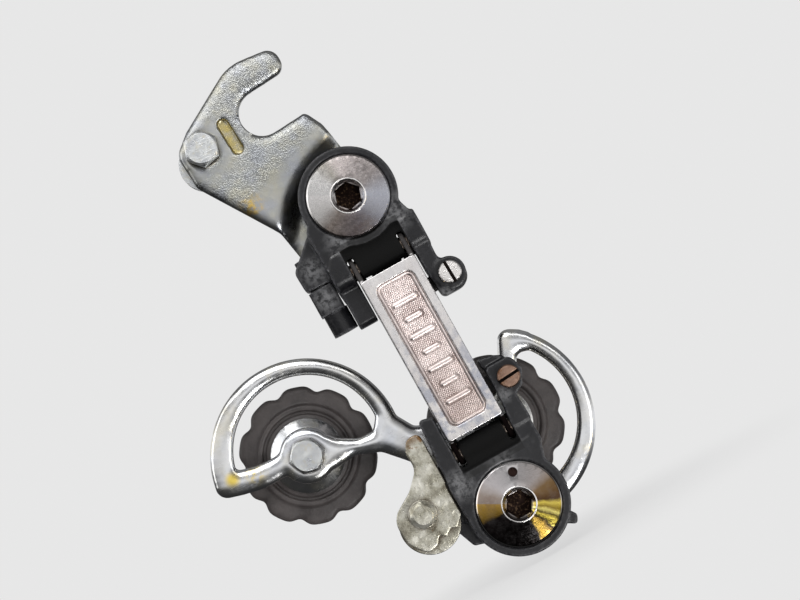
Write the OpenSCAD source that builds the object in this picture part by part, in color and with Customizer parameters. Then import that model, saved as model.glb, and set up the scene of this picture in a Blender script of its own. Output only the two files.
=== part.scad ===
// Rear bicycle derailleur with a claw hanger: plastic knuckles, plated links, chromed open cage.
// Millimetres. Origin: centre of the axle slot on the inboard face of the hanger plate.
// +X forward, +Y inboard (towards the wheel), +Z up. The outer side faces -Y.

/* [Hanger] */
// Thickness of the claw plate
plate_t = 3; // [2:0.5:4]
// Radius of the axle slot
slot_r = 5.85; // [5:0.05:6.5]
// How far the lower half of the plate steps inboard
step_in = 3.5; // [2:0.5:5]
// Radius of the nut disc behind the plate
nut_disc_r = 6.8; // [6:0.1:9]

/* [Pivots] */
// Upper pivot, forward of the axle
upper_x = 8.1; // [5:0.1:12]
// Upper pivot, height (negative is below the axle)
upper_z = -30; // [-36:0.1:-26]
// Lower pivot, forward of the axle
lower_x = 7.8; // [5:0.1:12]
// Lower pivot, height
lower_z = -114.8; // [-120:0.1:-110]
// Radius of the upper knuckle barrel
upper_r = 12.2; // [11:0.1:14]
// Radius of the lower knuckle barrel
lower_r = 12.6; // [11:0.1:14]
// Radius of the pivot caps
cap_r = 10.1; // [9:0.1:11]

/* [Parallelogram] */
// Height of the upper link pins
pin_top_z = -46.5; // [-50:0.1:-44]
// Height of the lower link pins
pin_low_z = -97.4; // [-100:0.1:-94]
// Depth of the outer pins
pin_out_y = -12.8; // [-14:0.1:-11]
// Depth of the inner pins
pin_in_y = -3.4; // [-5:0.1:-3]
// Radius of the link pins
pin_r = 1.9; // [1.5:0.1:2.5]
// Width of the outer link
link_w = 14.9; // [13:0.1:16]
// Sheet thickness of the links
link_t = 1.2; // [1:0.1:2]

/* [Cage] */
// Angle of the line through both pulleys
cage_angle = 19.6; // [15:0.1:25]
// Guide pulley, along the pulley line from the lower pivot
guide_u = -1.3; // [-5:0.1:5]
// Height of the pulley line over the lower pivot
pulley_v = 19.7; // [18:0.1:22]
// Distance between the pulley centres
pulley_gap = 47.6; // [45:0.1:50]
// Tip radius of a pulley
pulley_r = 17.4; // [16:0.1:19]
// Teeth on a pulley
teeth = 10; // [9:1:13]
// Middle plane of the pulleys
pulley_y = 8.1; // [7:0.1:9]
// Thickness of the cage plates
cage_t = 2; // [1.5:0.1:2.5]

/* [Hidden] */
$fn = 72;
cage_y = 0.8;
cage_in = cage_y + cage_t;
inner_y = 2 * pulley_y - cage_in;
link_x = 7.7;
link_x0 = link_x - link_w / 2;
link_x1 = link_x + link_w / 2;
front_y = -16.2;
back_y = -0.4;
fork_x0 = -0.1;
fork_x1 = 15.5;
bolt_x = -17.5;
bolt_z = -1.1;
bend_x = 20.9;
bend_z = -50.4;
tension_u = guide_u - pulley_gap;
roller_r = 4.1;
pitch_r = 20.55;
screw_x = 20.6;
screw_top_z = -58;
screw_low_z = -86.8;
anchor_x = -13.6;
anchor_z = -105.8;
anchor_y = -14.2;
stop_x = -8.2;
stop_y = -5.7;
grip = 0.03;

black = [0.08, 0.08, 0.09];
steel = [0.72, 0.72, 0.70];
zinc = [0.75, 0.74, 0.70];
chrome = [0.85, 0.85, 0.86];
plastic = [0.13, 0.13, 0.15];

// ---- helpers ----

// A shape drawn in X and Z, given thickness from y0 to y1.
module slab(y0, y1) {
    translate([0, y1, 0]) rotate([90, 0, 0]) linear_extrude(y1 - y0) children();
}

// A shape drawn in Y and Z, given width from x0 to x1.
module across(x0, x1) {
    translate([x0, 0, 0]) rotate([90, 0, 90]) linear_extrude(x1 - x0) children();
}

// A round bar along Y.
module rod_y(x, z, r, y0, y1) {
    translate([x, y1, z]) rotate([90, 0, 0]) cylinder(h = y1 - y0, r = r);
}

// A cone along Y, r0 at y0 and r1 at y1.
module cone_y(x, z, r0, r1, y0, y1) {
    translate([x, y1, z]) rotate([90, 0, 0]) cylinder(h = y1 - y0, r1 = r1, r2 = r0);
}

// A round bar along X.
module rod_x(y, z, r, x0, x1) {
    translate([x0, y, z]) rotate([0, 90, 0]) cylinder(h = x1 - x0, r = r);
}

// A hexagonal bar along Y, af across its flats.
module hex_y(x, z, af, y0, y1, turn = 0) {
    translate([x, y1, z]) rotate([90, 0, 0]) rotate(turn)
        cylinder(h = y1 - y0, r = af / sqrt(3), $fn = 6);
}

// Everything inside is drawn in the cage's own frame: lower pivot at the origin, pulley line along X.
module cage_frame() {
    translate([lower_x, 0, lower_z]) rotate([0, cage_angle, 0]) children();
}

function unit(v) = v / norm(v);

// The points of one rounded corner of an outline.
function corner(a, p, b, r, n) =
    let (u = unit(a - p), v = unit(b - p), half = acos(u * v) / 2,
         c = p + unit(u + v) * r / sin(half),
         s = p + u * r / tan(half), e = p + v * r / tan(half),
         t0 = atan2(s.y - c.y, s.x - c.x), t1 = atan2(e.y - c.y, e.x - c.x),
         sweep = (t1 - t0 + 540) % 360 - 180)
    [for (i = [0:n]) c + r * [cos(t0 + sweep * i / n), sin(t0 + sweep * i / n)]];

// An outline whose points are [x, y, corner radius].
function rounded(p, n = 6) =
    let (m = len(p))
    [for (i = [0:m - 1])
        let (a = p[(i + m - 1) % m], q = p[i], b = p[(i + 1) % m])
        each (q.z <= 0 ? [[q.x, q.y]] :
              corner([a.x, a.y], [q.x, q.y], [b.x, b.y], q.z, n))];

// Section of a close-wound coil: the wire circles overlap a little.
module coil_section(r, wire, turns) {
    for (i = [0:turns - 1]) translate([r, wire + i * 1.8 * wire]) circle(wire, $fn = 24);
}

// Close-wound rings along Y that stand for a coil spring.
module coil_y(x, z, r, wire, y0, turns) {
    translate([x, y0, z]) rotate([-90, 0, 0]) rotate_extrude() coil_section(r, wire, turns);
}

// ---- hanger ----

module hanger_outline() {
    difference() {
        union() {
            polygon(rounded([
                [10.3, 13.0, 3.3], [-2.0, 14.4, 12], [-10.8, 9.4, 7], [-19.0, 4.7, 4],
                [-23.8, 0.6, 4], [-23.2, -8.8, 3], [-10.6, -28.6, 4], [-8.8, -38.5, 4],
                [-1.0, -42.0, 3], [14.2, -40.0, 4], [19.0, -30.0, 6], [13.6, -19.5, 4],
                [11.6, -9.8, 3.4], [9.0, -4.7, 2.4], [4.6, -5.5, 0], [4.6, 6.1, 0],
                [10.3, 6.6, 2.8]]));
            translate([upper_x, upper_z]) circle(11.4);
        }
        circle(slot_r);
        rotate(4) translate([0, -slot_r]) square([30, 2 * slot_r]);
        translate([bolt_x, bolt_z]) circle(3.1);
        translate([upper_x, upper_z]) circle(4.03);
    }
}

// Section of the plate across its curved step: radius from the bend's centre, then depth outboard.
module step_section() {
    polygon(rounded([
        [0, plate_t - step_in, 0], [34.8, plate_t - step_in, 3.5], [38.8, plate_t, 3.5],
        [90, plate_t, 0], [90, 0, 0], [40.2, 0, 2.5], [36.2, -step_in, 2.5], [0, -step_in, 0]], 5));
}

module hanger_plate() color(zinc) {
    difference() {
        union() {
            intersection() {
                slab(-plate_t, step_in) hanger_outline();
                translate([bend_x, 0, bend_z]) rotate([90, 0, 0])
                    rotate_extrude($fn = 180) step_section();
            }
            translate([-9.8, 0, -1.5]) rotate([0, -3, 0]) slab(-1, 1.6) lozenge(9.4, 2.6);
        }
        translate([-9.8, 0, -1.5]) rotate([0, -3, 0]) slab(-plate_t - 1, -1.4) lozenge(10, 3);
    }
}

// An upright slot shape with round ends.
module lozenge(length, width) {
    square([width, length - width], center = true);
    for (s = [-1, 1]) translate([0, s * (length - width) / 2]) circle(width / 2);
}

module hanger_bolt() color(zinc) {
    intersection() {
        hex_y(bolt_x, bolt_z, 8, -7.3, -plate_t, 12);
        cone_y(bolt_x, bolt_z, 3.7, 9.8, -7.3, -plate_t);
    }
    rod_y(bolt_x, bolt_z, 3, -plate_t, 7.4);
}

module dropout_nut() color(zinc) difference() {
    union() {
        rod_y(bolt_x, bolt_z, 4.9, 0, 3.2);
        rod_y(bolt_x - 1, bolt_z - 2.6, nut_disc_r, 3.2, 6.4);
    }
    rod_y(bolt_x, bolt_z, 3, -1, 8);
}

// A turned cap with a hex socket, on a pivot shaft that ends at y1, with a collar under the cap.
module cap_bolt(x, z, r, y0, y1, shaft_r, collar_r, turn) {
    difference() {
        union() {
            cone_y(x, z, 4.2, r - 0.4, y0, y0 + 0.8);
            cone_y(x, z, r - 0.4, r, y0 + 0.8, y0 + 1.1);
            rod_y(x, z, r, y0 + 1.1, y0 + 2.4);
            rod_y(x, z, collar_r, y0 + 2.4, y0 + 5.6);
            rod_y(x, z, shaft_r, y0 + 2.4, y1);
        }
        hex_y(x, z, 6, y0 - 1, y0 + 5, turn);
        cone_y(x, z, 5.1, 3.3, y0 - 1, y0 + 0.8);
    }
}

module upper_pivot_bolt() color(chrome)
    cap_bolt(upper_x, upper_z, cap_r, -17.8, 6.4, 4, 4, 12);

module upper_pivot_nut() color(zinc) difference() {
    hex_y(upper_x, upper_z, 11, step_in, step_in + 2.8, 20);
    rod_y(upper_x, upper_z, 4, 0, 10);
}

// ---- knuckles ----

// Barrel with its spring chamber, seat for the cap and bore for the shaft or sleeve.
module barrel_hollow(x, z, cap, shaft_r) {
    rod_y(x, z, cap + 0.3, -20, -15.4);
    difference() {
        rod_y(x, z, 9.2, -13.6, -3);
        rod_y(x, z, 5.6, -14, -2);
    }
    rod_y(x, z, shaft_r, -20, 4);
}

// Side view of a fork arm that carries both link pins; root_z is where it joins the barrel.
module arm_section(pin_z, root_z) {
    s = sign(root_z - pin_z);
    translate([pin_out_y, pin_z]) circle(3.1);
    translate([pin_in_y, pin_z]) circle(3);
    polygon([[pin_out_y - 3.1, pin_z], [pin_out_y - 3.1, root_z], [back_y, root_z],
             [back_y, pin_z], [pin_in_y, pin_z - s * 3], [pin_out_y, pin_z - s * 3]]);
}

// Section of the boss between the link's sides: round its outer pin, and back to the body.
module boss_section(pin_z, root_z) {
    translate([pin_out_y, pin_z]) circle(2.9);
    polygon([[pin_out_y - 2.1, pin_z], [pin_out_y - 2.1, root_z], [pin_out_y + 2.4, root_z],
             [pin_out_y + 2.4, pin_z]]);
}

module pin_holes(pin_z) {
    for (y = [pin_out_y, pin_in_y]) rod_x(y, pin_z, pin_r, -8, 24);
}

module upper_knuckle() color(black) difference() {
    union() {
        rod_y(upper_x, upper_z, upper_r, front_y, -1.9);
        rod_y(upper_x, upper_z, upper_r - 2, -1.9, 0.2);
        slab(front_y, back_y) polygon(rounded([
            [-5.3, -44, 0], [-5.3, -33, 3], [0, -27, 3], [17, -27, 3], [18.6, -37.5, 2],
            [20.3, -42.5, 1.5], [20.3, -44, 0], [18, -40.8, 0], [-3, -40.8, 0]]));
        across(-5.3, fork_x0) arm_section(pin_top_z, -40);
        across(fork_x1, 20.3) arm_section(pin_top_z, -40);
        across(link_x0 + link_t + 0.35, link_x1 - link_t - 0.35) boss_section(pin_top_z, -40.5);
        across(fork_x0 - 0.5, fork_x1 + 0.5) polygon([[-15, -43.3], [-7.2, -43.3], [-7.2, -42.7],
                                                      [-0.6, -42.7], [-0.6, -40.5], [-15, -40.5]]);
        across(-4.9, 0) polygon([[-10.2, -44], [-10.2, -58.4], [-9.2, -59.4], [-3.4, -59.4], [-3.4, -44]]);
        slab(-15, -8.6) polygon(rounded([
            [15.7, -44, 0], [20.3, -44, 0], [19.8, -53.6, 2], [24.4, -56.4, 3],
            [24.4, -62.6, 3.4], [16.4, -62.6, 1.5], [15.7, -55, 0]]));
        rod_y(screw_x, screw_top_z, 4, -15.4, -8.6);
        slab(-9.9, back_y) polygon(rounded([
            [-5.2, -33, 0], [-12.4, -39.6, 2], [-12.2, -45.2, 1], [-5.6, -45.6, 0],
            [-5.0, -52.3, 0.6], [-0.6, -52.3, 0.6], [-0.6, -44, 0], [-2, -40, 0]]));
    }
    barrel_hollow(upper_x, upper_z, cap_r, 4 + grip);
    pin_holes(pin_top_z);
    rod_y(screw_x, screw_top_z, 1.5 + grip, -20, 0);
    translate([stop_x, stop_y, -60]) cylinder(h = 40, r = 3.2);
}

module lower_knuckle() color(black) difference() {
    union() {
        rod_y(lower_x, lower_z, lower_r, front_y, 0.3);
        slab(front_y, back_y) polygon(rounded([
            [-4.4, -99, 0], [-5.1, -104.5, 3], [-4.8, -112, 3], [0, -118, 3], [17, -118, 3],
            [18.8, -108, 2], [20.3, -103, 2], [20.3, -99, 0], [18, -101.9, 0], [-2, -101.9, 0]]));
        across(-4.6, fork_x0) arm_section(pin_low_z, -104);
        across(fork_x1, 20.3) arm_section(pin_low_z, -104);
        across(link_x0 + link_t + 0.35, link_x1 - link_t - 0.35) boss_section(pin_low_z, -102.3);
        slab(-15, -0.6) polygon([[fork_x0 - 0.5, -102.2], [fork_x1 + 0.5, -102.2], [fork_x1 + 0.5, -100.7],
                                 [fork_x0 - 0.5, -100.7]]);
        slab(front_y, -9.4) polygon(rounded([
            [-3.8, -85.5, 1], [fork_x0, -86.5, 0.6], [fork_x0, -101.4, 0], [-4.6, -101.4, 0]]));
        slab(front_y, -12) polygon(rounded([
            [16.4, -82.4, 1.2], [23.2, -82.4, 2], [24.6, -86.5, 2.4], [22.6, -90.2, 1.5],
            [20.3, -91.4, 0], [20.6, -98.0, 0], [fork_x1, -98.0, 0], [16.2, -90.6, 0]]));
        slab(-14, -9.8) polygon(rounded([
            [15.8, -79.6, 0.6], [19.6, -80.4, 2], [22.0, -81.6, 1], [22.4, -84, 0],
            [16.4, -84, 0]]));
        slab(-9, 0.1) polygon(rounded([
            [16.8, -121, 0], [19.3, -124.2, 0.7], [18.2, -126.4, 0.7], [14.2, -124, 0]]));
        slab(-6, 0.1) polygon(rounded([
            [-4, -111.5, 0], [-8.4, -113.8, 0.6], [-6.4, -119.0, 0.8], [-1, -120.5, 0]]));
        slab(-8.8, -0.5) polygon(rounded([
            [-3, -96.5, 0], [-6.2, -98.5, 1], [-7.3, -104, 2], [-7.3, -112, 1], [-3, -114, 0]]));
    }
    barrel_hollow(lower_x, lower_z, cap_r + 0.2, 4.5 + grip);
    pin_holes(pin_low_z);
    rod_y(screw_x, screw_low_z, 1.5 + grip, -20, 0);
}

module upper_pivot_spring() color(steel) coil_y(upper_x, upper_z, 7.4, 0.8, -13, 6);

module lower_pivot_spring() color(steel) coil_y(lower_x, lower_z, 7.4, 0.8, -13, 6);

module upper_outer_pin() color(steel) rod_x(pin_out_y, pin_top_z, pin_r, -5.1, 20.1);

module upper_inner_pin() color(steel) rod_x(pin_in_y, pin_top_z, pin_r, -5.1, 20.1);

module lower_outer_pin() color(steel) rod_x(pin_out_y, pin_low_z, pin_r, -4.4, 20.1);

module lower_inner_pin() color(steel) rod_x(pin_in_y, pin_low_z, pin_r, -4.4, 20.1);

// A slotted cheese-head screw whose head rests on y0 and whose tip reaches y1.
module limit_screw(z, y0, y1, turn) {
    difference() {
        union() {
            cone_y(screw_x, z, 2.5, 2.8, y0 - 2.2, y0 - 1.8);
            rod_y(screw_x, z, 2.8, y0 - 1.8, y0);
            rod_y(screw_x, z, 1.5, y0, y1);
        }
        translate([screw_x, y0 - 2.2, z]) rotate([0, turn, 0]) cube([6, 2.4, 0.8], center = true);
    }
}

module upper_limit_screw() color(steel) limit_screw(screw_top_z, -15.6, -4.6, 88);

module lower_limit_screw() color(steel) limit_screw(screw_low_z, front_y - 0.2, -11.6, -4);

module cable_stop() color(black) difference() {
    union() {
        translate([stop_x, stop_y, -58.2]) cylinder(h = 5.9, r = 3.2);
        translate([0, 0, -52.4]) linear_extrude(6.6) polygon(rounded([
            [stop_x - 3.7, stop_y - 3.9, 1.4], [stop_x + 2.8, stop_y - 3.9, 0.8],
            [stop_x + 2.8, stop_y + 3.9, 0.8], [stop_x - 3.7, stop_y + 3.9, 1.4]]));
        translate([stop_x, stop_y, -46]) cylinder(h = 8.6, r = 3.2);
    }
    translate([stop_x, stop_y, -55.4]) cylinder(h = 30, r = 2.6);
    translate([stop_x, stop_y, -60]) cylinder(h = 10, r = 0.9);
}

// ---- links ----

module outer_link() color(steel) {
    difference() {
        slab(-17.2, -17.2 + link_t) difference() {
            polygon(rounded([[link_x0, -50, 1], [link_x1, -50, 1], [link_x1, -93.9, 1],
                             [link_x0, -93.9, 1]]));
        }
        slab(-18, -16.7) polygon(rounded([
            [link_x0 + 2.3, -52.6, 2], [link_x1 - 2.3, -52.6, 2],
            [link_x1 - 2.3, -91.3, 2], [link_x0 + 2.3, -91.3, 2]]));
    }
    for (x = [link_x0, link_x1 - link_t]) across(x, x + link_t) difference() {
        union() {
            translate([pin_out_y, pin_top_z]) circle(3);
            translate([pin_out_y, pin_low_z]) circle(2.8);
            polygon([[-17.2, -51], [-15.8, pin_top_z], [-9.8, pin_top_z], [-9.8, pin_low_z],
                     [-15.6, pin_low_z], [-17.2, -93]]);
        }
        for (z = [pin_top_z, pin_low_z])
            translate([pin_out_y, z]) circle(pin_r + grip);
    }
}

module inner_link() color(steel) {
    slab(-1.6, -1.6 + link_t)
        polygon([[1.2, -50], [14.2, -50], [14.2, -93.9], [1.2, -93.9]]);
    for (x = [1.2, 14.2 - link_t]) across(x, x + link_t) difference() {
        union() {
            for (z = [pin_top_z, pin_low_z]) translate([pin_in_y, z]) circle(2.9);
            polygon([[-6.2, pin_top_z], [-0.6, pin_top_z], [-0.2, -50], [-0.2, -93.9],
                     [-0.6, pin_low_z], [-6.2, pin_low_z]]);
        }
        for (z = [pin_top_z, pin_low_z])
            translate([pin_in_y, z]) circle(pin_r + grip);
    }
    slab(-4.4, -3) polygon([[14.2, -56], [23, -56], [23, -60], [14.2, -60]]);
    slab(-4.4, -3) polygon([[14.2, -84], [23, -84], [23, -88.6], [14.2, -88.6]]);
}

module parallelogram_spring() color(steel) {
    translate([4, pin_in_y, pin_top_z]) rotate([0, 90, 0])
        rotate_extrude() coil_section(2.7, 0.65, 7);
    translate([6.4, -2.25, -62]) cylinder(h = 13.6, r = 0.6);
}

// ---- cable anchor ----

module cable_anchor_arm() color(steel) difference() {
    union() {
        slab(anchor_y, anchor_y + 1.8) polygon(rounded([
            [-4.9, -88.0, 1.5], [-8.6, -88.2, 2.2], [-10.2, -91.4, 2], [-9.8, -95.4, 4],
            [-13.9, -99.6, 5], [-20.6, -103.6, 5], [-20.2, -110.6, 4], [-16.8, -114.8, 2.5],
            [-14.0, -114.0, 0.5], [-12.6, -112.2, 0.5], [-11.0, -113.4, 0.6], [-9.4, -112.0, 0.4],
            [-7.6, -112.6, 0.6], [-5.3, -110.0, 0.6], [-5.3, -104, 3]]));
        across(-6.6, -4.9) polygon(rounded([
            [anchor_y, -90, 0], [anchor_y, -102, 0], [-9.4, -101, 2.4], [-9.4, -93.6, 2.4]]));
    }
    rod_y(anchor_x, anchor_z, 2.6, -20, 0);
}

// Clamp plate behind the arm; the cable is pinched between the two.
module cable_anchor_plate() color(steel) difference() {
    rod_y(-13.1, -108.6, 7.6, anchor_y + 1.8, anchor_y + 3);
    rod_y(anchor_x, anchor_z, 2.6, -20, 0);
}

module cable_anchor_bolt() color(steel) {
    intersection() {
        hex_y(anchor_x, anchor_z, 6.2, anchor_y - 4, anchor_y - 0.8, 8);
        cone_y(anchor_x, anchor_z, 2.3, 7, anchor_y - 4, anchor_y - 0.8);
    }
    rod_y(anchor_x, anchor_z, 2.5, anchor_y - 0.8, anchor_y + 8.4);
}

module cable_anchor_washer() color(steel) difference() {
    rod_y(anchor_x, anchor_z, 3.5, anchor_y - 0.8, anchor_y);
    rod_y(anchor_x, anchor_z, 2.5, -20, 0);
}

module cable_anchor_nut() color(steel) difference() {
    hex_y(anchor_x, anchor_z, 8, anchor_y + 3, anchor_y + 7, 8);
    rod_y(anchor_x, anchor_z, 2.5, -20, 0);
}

// ---- lower pivot ----

module lower_pivot_bolt() color(chrome) difference() {
    cap_bolt(lower_x, lower_z, cap_r + 0.2, -17.8, 3.9, 3, 4.4, 59);
    rod_y(lower_x + 2.4, lower_z + 7.5, 1.1, -20, -16.4);
}

module lower_pivot_clip() color(steel) difference() {
    rod_y(lower_x, lower_z, 4.4, cage_in + 0.1, cage_in + 0.9);
    rod_y(lower_x, lower_z, 3, 0, 10);
}

module cage_pivot_sleeve() color(steel) difference() {
    rod_y(lower_x, lower_z, 4.5, -12, cage_in);
    rod_y(lower_x, lower_z, 3 + grip, -20, 10);
}

// ---- cage ----

// Open guard: a ring between two circles, without what lies inside the cut outline.
module guard(u, out_dv, out_r, in_du, in_dv, in_r, cut) {
    difference() {
        translate([u, pulley_v + out_dv]) circle(out_r);
        translate([u + in_du, pulley_v + in_dv]) circle(in_r);
        polygon(cut);
    }
}

module cage_outer_plate() color(chrome) cage_frame() difference() {
    union() {
        // tension side: guard, hub, the spoke to its end and the neck to the main plate
        slab(cage_y, cage_in)
            guard(tension_u, 0, 24.2, 0.4, 1.4, 18.6,
                  [[-90, 15.5], [-60, 15.5], [-60, 22], [0, 22], [0, -20], [-90, -20]]);
        rod_y(tension_u, pulley_v, 7, cage_y, cage_in);
        slab(cage_y, cage_in) polygon(rounded([
            [-72.75, 16, 0], [-73.6, 12.4, 3], [-66, 12.8, 4], [-60, 13.6, 4], [-54, 15.8, 0],
            [-53, 23.4, 0], [-57, 20.7, 3], [-62, 19.3, 4], [-67, 18.9, 1.4], [-67.5, 22, 0]]));
        slab(cage_y, cage_in) polygon(rounded([
            [-44, 24.6, 0], [-41, 22.9, 2], [-36, 21.9, 3], [-31.8, 23.0, 2], [-30.4, 27.4, 0],
            [-26.8, 29.6, 0], [-25.6, 26.0, 2], [-21.6, 22.6, 2], [-12, 22.2, 3], [-3, 28, 0],
            [3, 24, 0], [6.5, 14, 3], [8, 2, 0], [-9.8, -3.5, 3], [-17, 10, 6],
            [-25.4, 14.8, 2], [-30.6, 17.6, 3], [-37, 17.9, 3], [-44, 14.8, 0]]));
        // guide side: hub, guard and the spoke to its end
        rod_y(0, 0, 10.6, cage_y, cage_in);
        rod_y(guide_u, pulley_v, 7, cage_y, cage_in);
        slab(cage_y, cage_in)
            guard(guide_u, -0.6, 24.5, 1.0, 0.4, 19.1,
                  [[8, 60], [8, 20], [-2, 20], [-2, -20], [-60, -20], [-60, 60]]);
        slab(cage_y, cage_in) polygon(rounded([
            [10.5, 40.8, 0], [8.1, 41.9, 0], [2.6, 43.0, 3], [1.6, 34.5, 3], [-3.8, 25.6, 0],
            [2.8, 25.2, 0], [5.9, 31.5, 3], [6.4, 36.2, 2], [11, 36.4, 0]]));
    }
    rod_y(0, 0, 4.5, -5, 10);
    rod_y(guide_u, pulley_v, 2.5, -5, 10);
    rod_y(tension_u, pulley_v, 2.5, -5, 10);
}

module cage_inner_plate() color(steel) cage_frame() difference() {
    slab(inner_y, inner_y + 1.8) {
        translate([guide_u, pulley_v]) circle(9);
        translate([tension_u, pulley_v]) circle(9);
        translate([0, pulley_v]) polygon(rounded([
            [tension_u, -7, 0], [tension_u + 9, -6, 4], [-34, -2.1, 4], [-17, -2.1, 4],
            [guide_u - 7, -6, 3], [guide_u, -7, 0], [guide_u, 7, 0], [guide_u - 7, 6, 3],
            [-17, 2.2, 4], [-34, 2.2, 4], [tension_u + 9, 6, 4], [tension_u, 7, 0]]));
    }
    for (u = [guide_u, tension_u]) rod_y(u, pulley_v, 2.5, -5, 30);
}

// ---- pulleys ----

module pulley(u) color(plastic) cage_frame() difference() {
    union() {
        rod_y(u, pulley_v, pulley_r - 0.5, pulley_y - 1.9, pulley_y + 1.9);
        rod_y(u, pulley_v, pulley_r, pulley_y - 1.3, pulley_y + 1.3);
        rod_y(u, pulley_v, 12.6, pulley_y - 3.1, pulley_y + 3.1);
    }
    rod_y(u, pulley_v, 3.9 + grip, -5, 30);
    for (s = [0:teeth - 1])
        rod_y(u + pitch_r * cos(s * 360 / teeth), pulley_v + pitch_r * sin(s * 360 / teeth),
              roller_r, -5, 30);
    for (y = [pulley_y - 3.1, pulley_y + 3.1]) difference() {
        rod_y(u, pulley_v, 11.4, y - 0.7, y + 0.7);
        rod_y(u, pulley_v, 10.2, y - 2, y + 2);
    }
}

module guide_pulley() pulley(guide_u);

module tension_pulley() pulley(tension_u);

module bush(u) color(steel) cage_frame() difference() {
    rod_y(u, pulley_v, 3.9, cage_in, inner_y);
    rod_y(u, pulley_v, 2.5, -5, 30);
}

module guide_bush() bush(guide_u);

module tension_bush() bush(tension_u);

// A dished dust cap with its rim at y1, next to the pulley.
module dust_cap(u, y0, y1) color(chrome) cage_frame() difference() {
    cone_y(u, pulley_v, y0 < y1 ? 6.5 : 9.4, y0 < y1 ? 9.4 : 6.5, min(y0, y1), max(y0, y1));
    rod_y(u, pulley_v, 3.9, -5, 30);
}

module guide_cap_outer() dust_cap(guide_u, cage_in, pulley_y - 3.5);

module guide_cap_inner() dust_cap(guide_u, inner_y, pulley_y + 3.5);

module tension_cap_outer() dust_cap(tension_u, cage_in, pulley_y - 3.5);

module tension_cap_inner() dust_cap(tension_u, inner_y, pulley_y + 3.5);

module tension_bolt() color(zinc) cage_frame() {
    intersection() {
        hex_y(tension_u, pulley_v, 8, cage_y - 3.6, cage_y, 10);
        cone_y(tension_u, pulley_v, 3.7, 8.2, cage_y - 3.6, cage_y);
    }
    rod_y(tension_u, pulley_v, 2.5, cage_y, inner_y + 5.4);
}

module guide_bolt() color(zinc) cage_frame() {
    hex_y(guide_u, pulley_v, 8, inner_y + 1.8, inner_y + 5, 10);
    rod_y(guide_u, pulley_v, 2.5, cage_y, inner_y + 1.8);
}

// The guide pulley's nut is a thin ring on the bolt head's side, the tension pulley's a full nut.
module guide_nut() color(zinc) cage_frame() difference() {
    rod_y(guide_u, pulley_v, 5.6, cage_y - 0.3, cage_y);
    rod_y(guide_u, pulley_v, 2.2, -5, 30);
}

module tension_nut() color(zinc) cage_frame() difference() {
    hex_y(tension_u, pulley_v, 8, inner_y + 1.8, inner_y + 4.8, 0);
    rod_y(tension_u, pulley_v, 2.5, -5, 30);
}

// ---- nodes ----

hanger_plate();
hanger_bolt();
dropout_nut();
upper_pivot_bolt();
upper_pivot_nut();
upper_knuckle();
upper_pivot_spring();
upper_outer_pin();
upper_inner_pin();
upper_limit_screw();
cable_stop();
outer_link();
inner_link();
parallelogram_spring();
lower_knuckle();
lower_outer_pin();
lower_inner_pin();
lower_limit_screw();
lower_pivot_bolt();
lower_pivot_clip();
lower_pivot_spring();
cable_anchor_arm();
cable_anchor_plate();
cable_anchor_bolt();
cable_anchor_washer();
cable_anchor_nut();
cage_outer_plate();
cage_inner_plate();
cage_pivot_sleeve();
guide_pulley();
guide_bush();
guide_cap_outer();
guide_cap_inner();
guide_bolt();
guide_nut();
tension_pulley();
tension_bush();
tension_cap_outer();
tension_cap_inner();
tension_bolt();
tension_nut();
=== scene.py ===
"""Looks of the rear derailleur: finishes, smoother stand-ins for some solids, light and camera."""

import math

import bpy
from mathutils import Matrix, Vector
from mathutils.kdtree import KDTree


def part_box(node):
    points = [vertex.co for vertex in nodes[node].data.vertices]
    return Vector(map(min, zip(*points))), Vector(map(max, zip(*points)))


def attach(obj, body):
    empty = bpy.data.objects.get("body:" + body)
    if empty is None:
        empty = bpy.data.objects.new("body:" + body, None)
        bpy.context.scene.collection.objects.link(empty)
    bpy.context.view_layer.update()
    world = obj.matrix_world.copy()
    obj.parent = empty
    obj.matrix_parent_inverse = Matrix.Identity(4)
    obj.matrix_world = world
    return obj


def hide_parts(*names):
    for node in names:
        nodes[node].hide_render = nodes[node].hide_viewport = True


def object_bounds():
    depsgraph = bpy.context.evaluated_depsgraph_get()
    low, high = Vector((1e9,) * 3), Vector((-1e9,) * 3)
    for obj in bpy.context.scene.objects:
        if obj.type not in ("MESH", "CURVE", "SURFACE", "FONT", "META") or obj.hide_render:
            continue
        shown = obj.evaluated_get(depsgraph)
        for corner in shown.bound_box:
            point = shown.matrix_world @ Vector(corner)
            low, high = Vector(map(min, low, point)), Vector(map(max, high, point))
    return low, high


MM = 0.001
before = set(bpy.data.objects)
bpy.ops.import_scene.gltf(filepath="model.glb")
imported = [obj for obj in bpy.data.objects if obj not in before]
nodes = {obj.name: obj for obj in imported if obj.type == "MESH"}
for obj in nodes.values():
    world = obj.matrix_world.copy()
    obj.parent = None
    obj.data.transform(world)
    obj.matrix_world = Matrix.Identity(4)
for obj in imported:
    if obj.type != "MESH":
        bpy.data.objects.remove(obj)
scene = bpy.context.scene
cad_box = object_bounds()

# ---- camera: square on to the outer side, rolled so that the links lean ----

# The camera is AWAY metres off, and its view there is VIEW_WIDTH metres wide. Its sensor is in mm.
ROLL = math.radians(29.2)
TILT = math.radians(3.0)
AWAY = 0.56
VIEW_WIDTH = 0.195
SENSOR_WIDTH = 36
RIGHT = Vector((math.cos(ROLL), 0, -math.sin(ROLL)))
UP = Vector((math.sin(ROLL), 0, math.cos(ROLL)))
OUT = Vector((0, -1, 0))
AIM = Vector((6.95, -10.0, -57.8)) * MM


def look(obj, place, aim, up):
    """Puts obj at place, looking at aim along its -Z, with up as near to its +Y as it can be."""
    forward = (aim - place).normalized()
    side = forward.cross(up).normalized()
    turned = Matrix((side, side.cross(forward), -forward)).transposed()
    obj.matrix_world = Matrix.Translation(place) @ turned.to_4x4()


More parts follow.
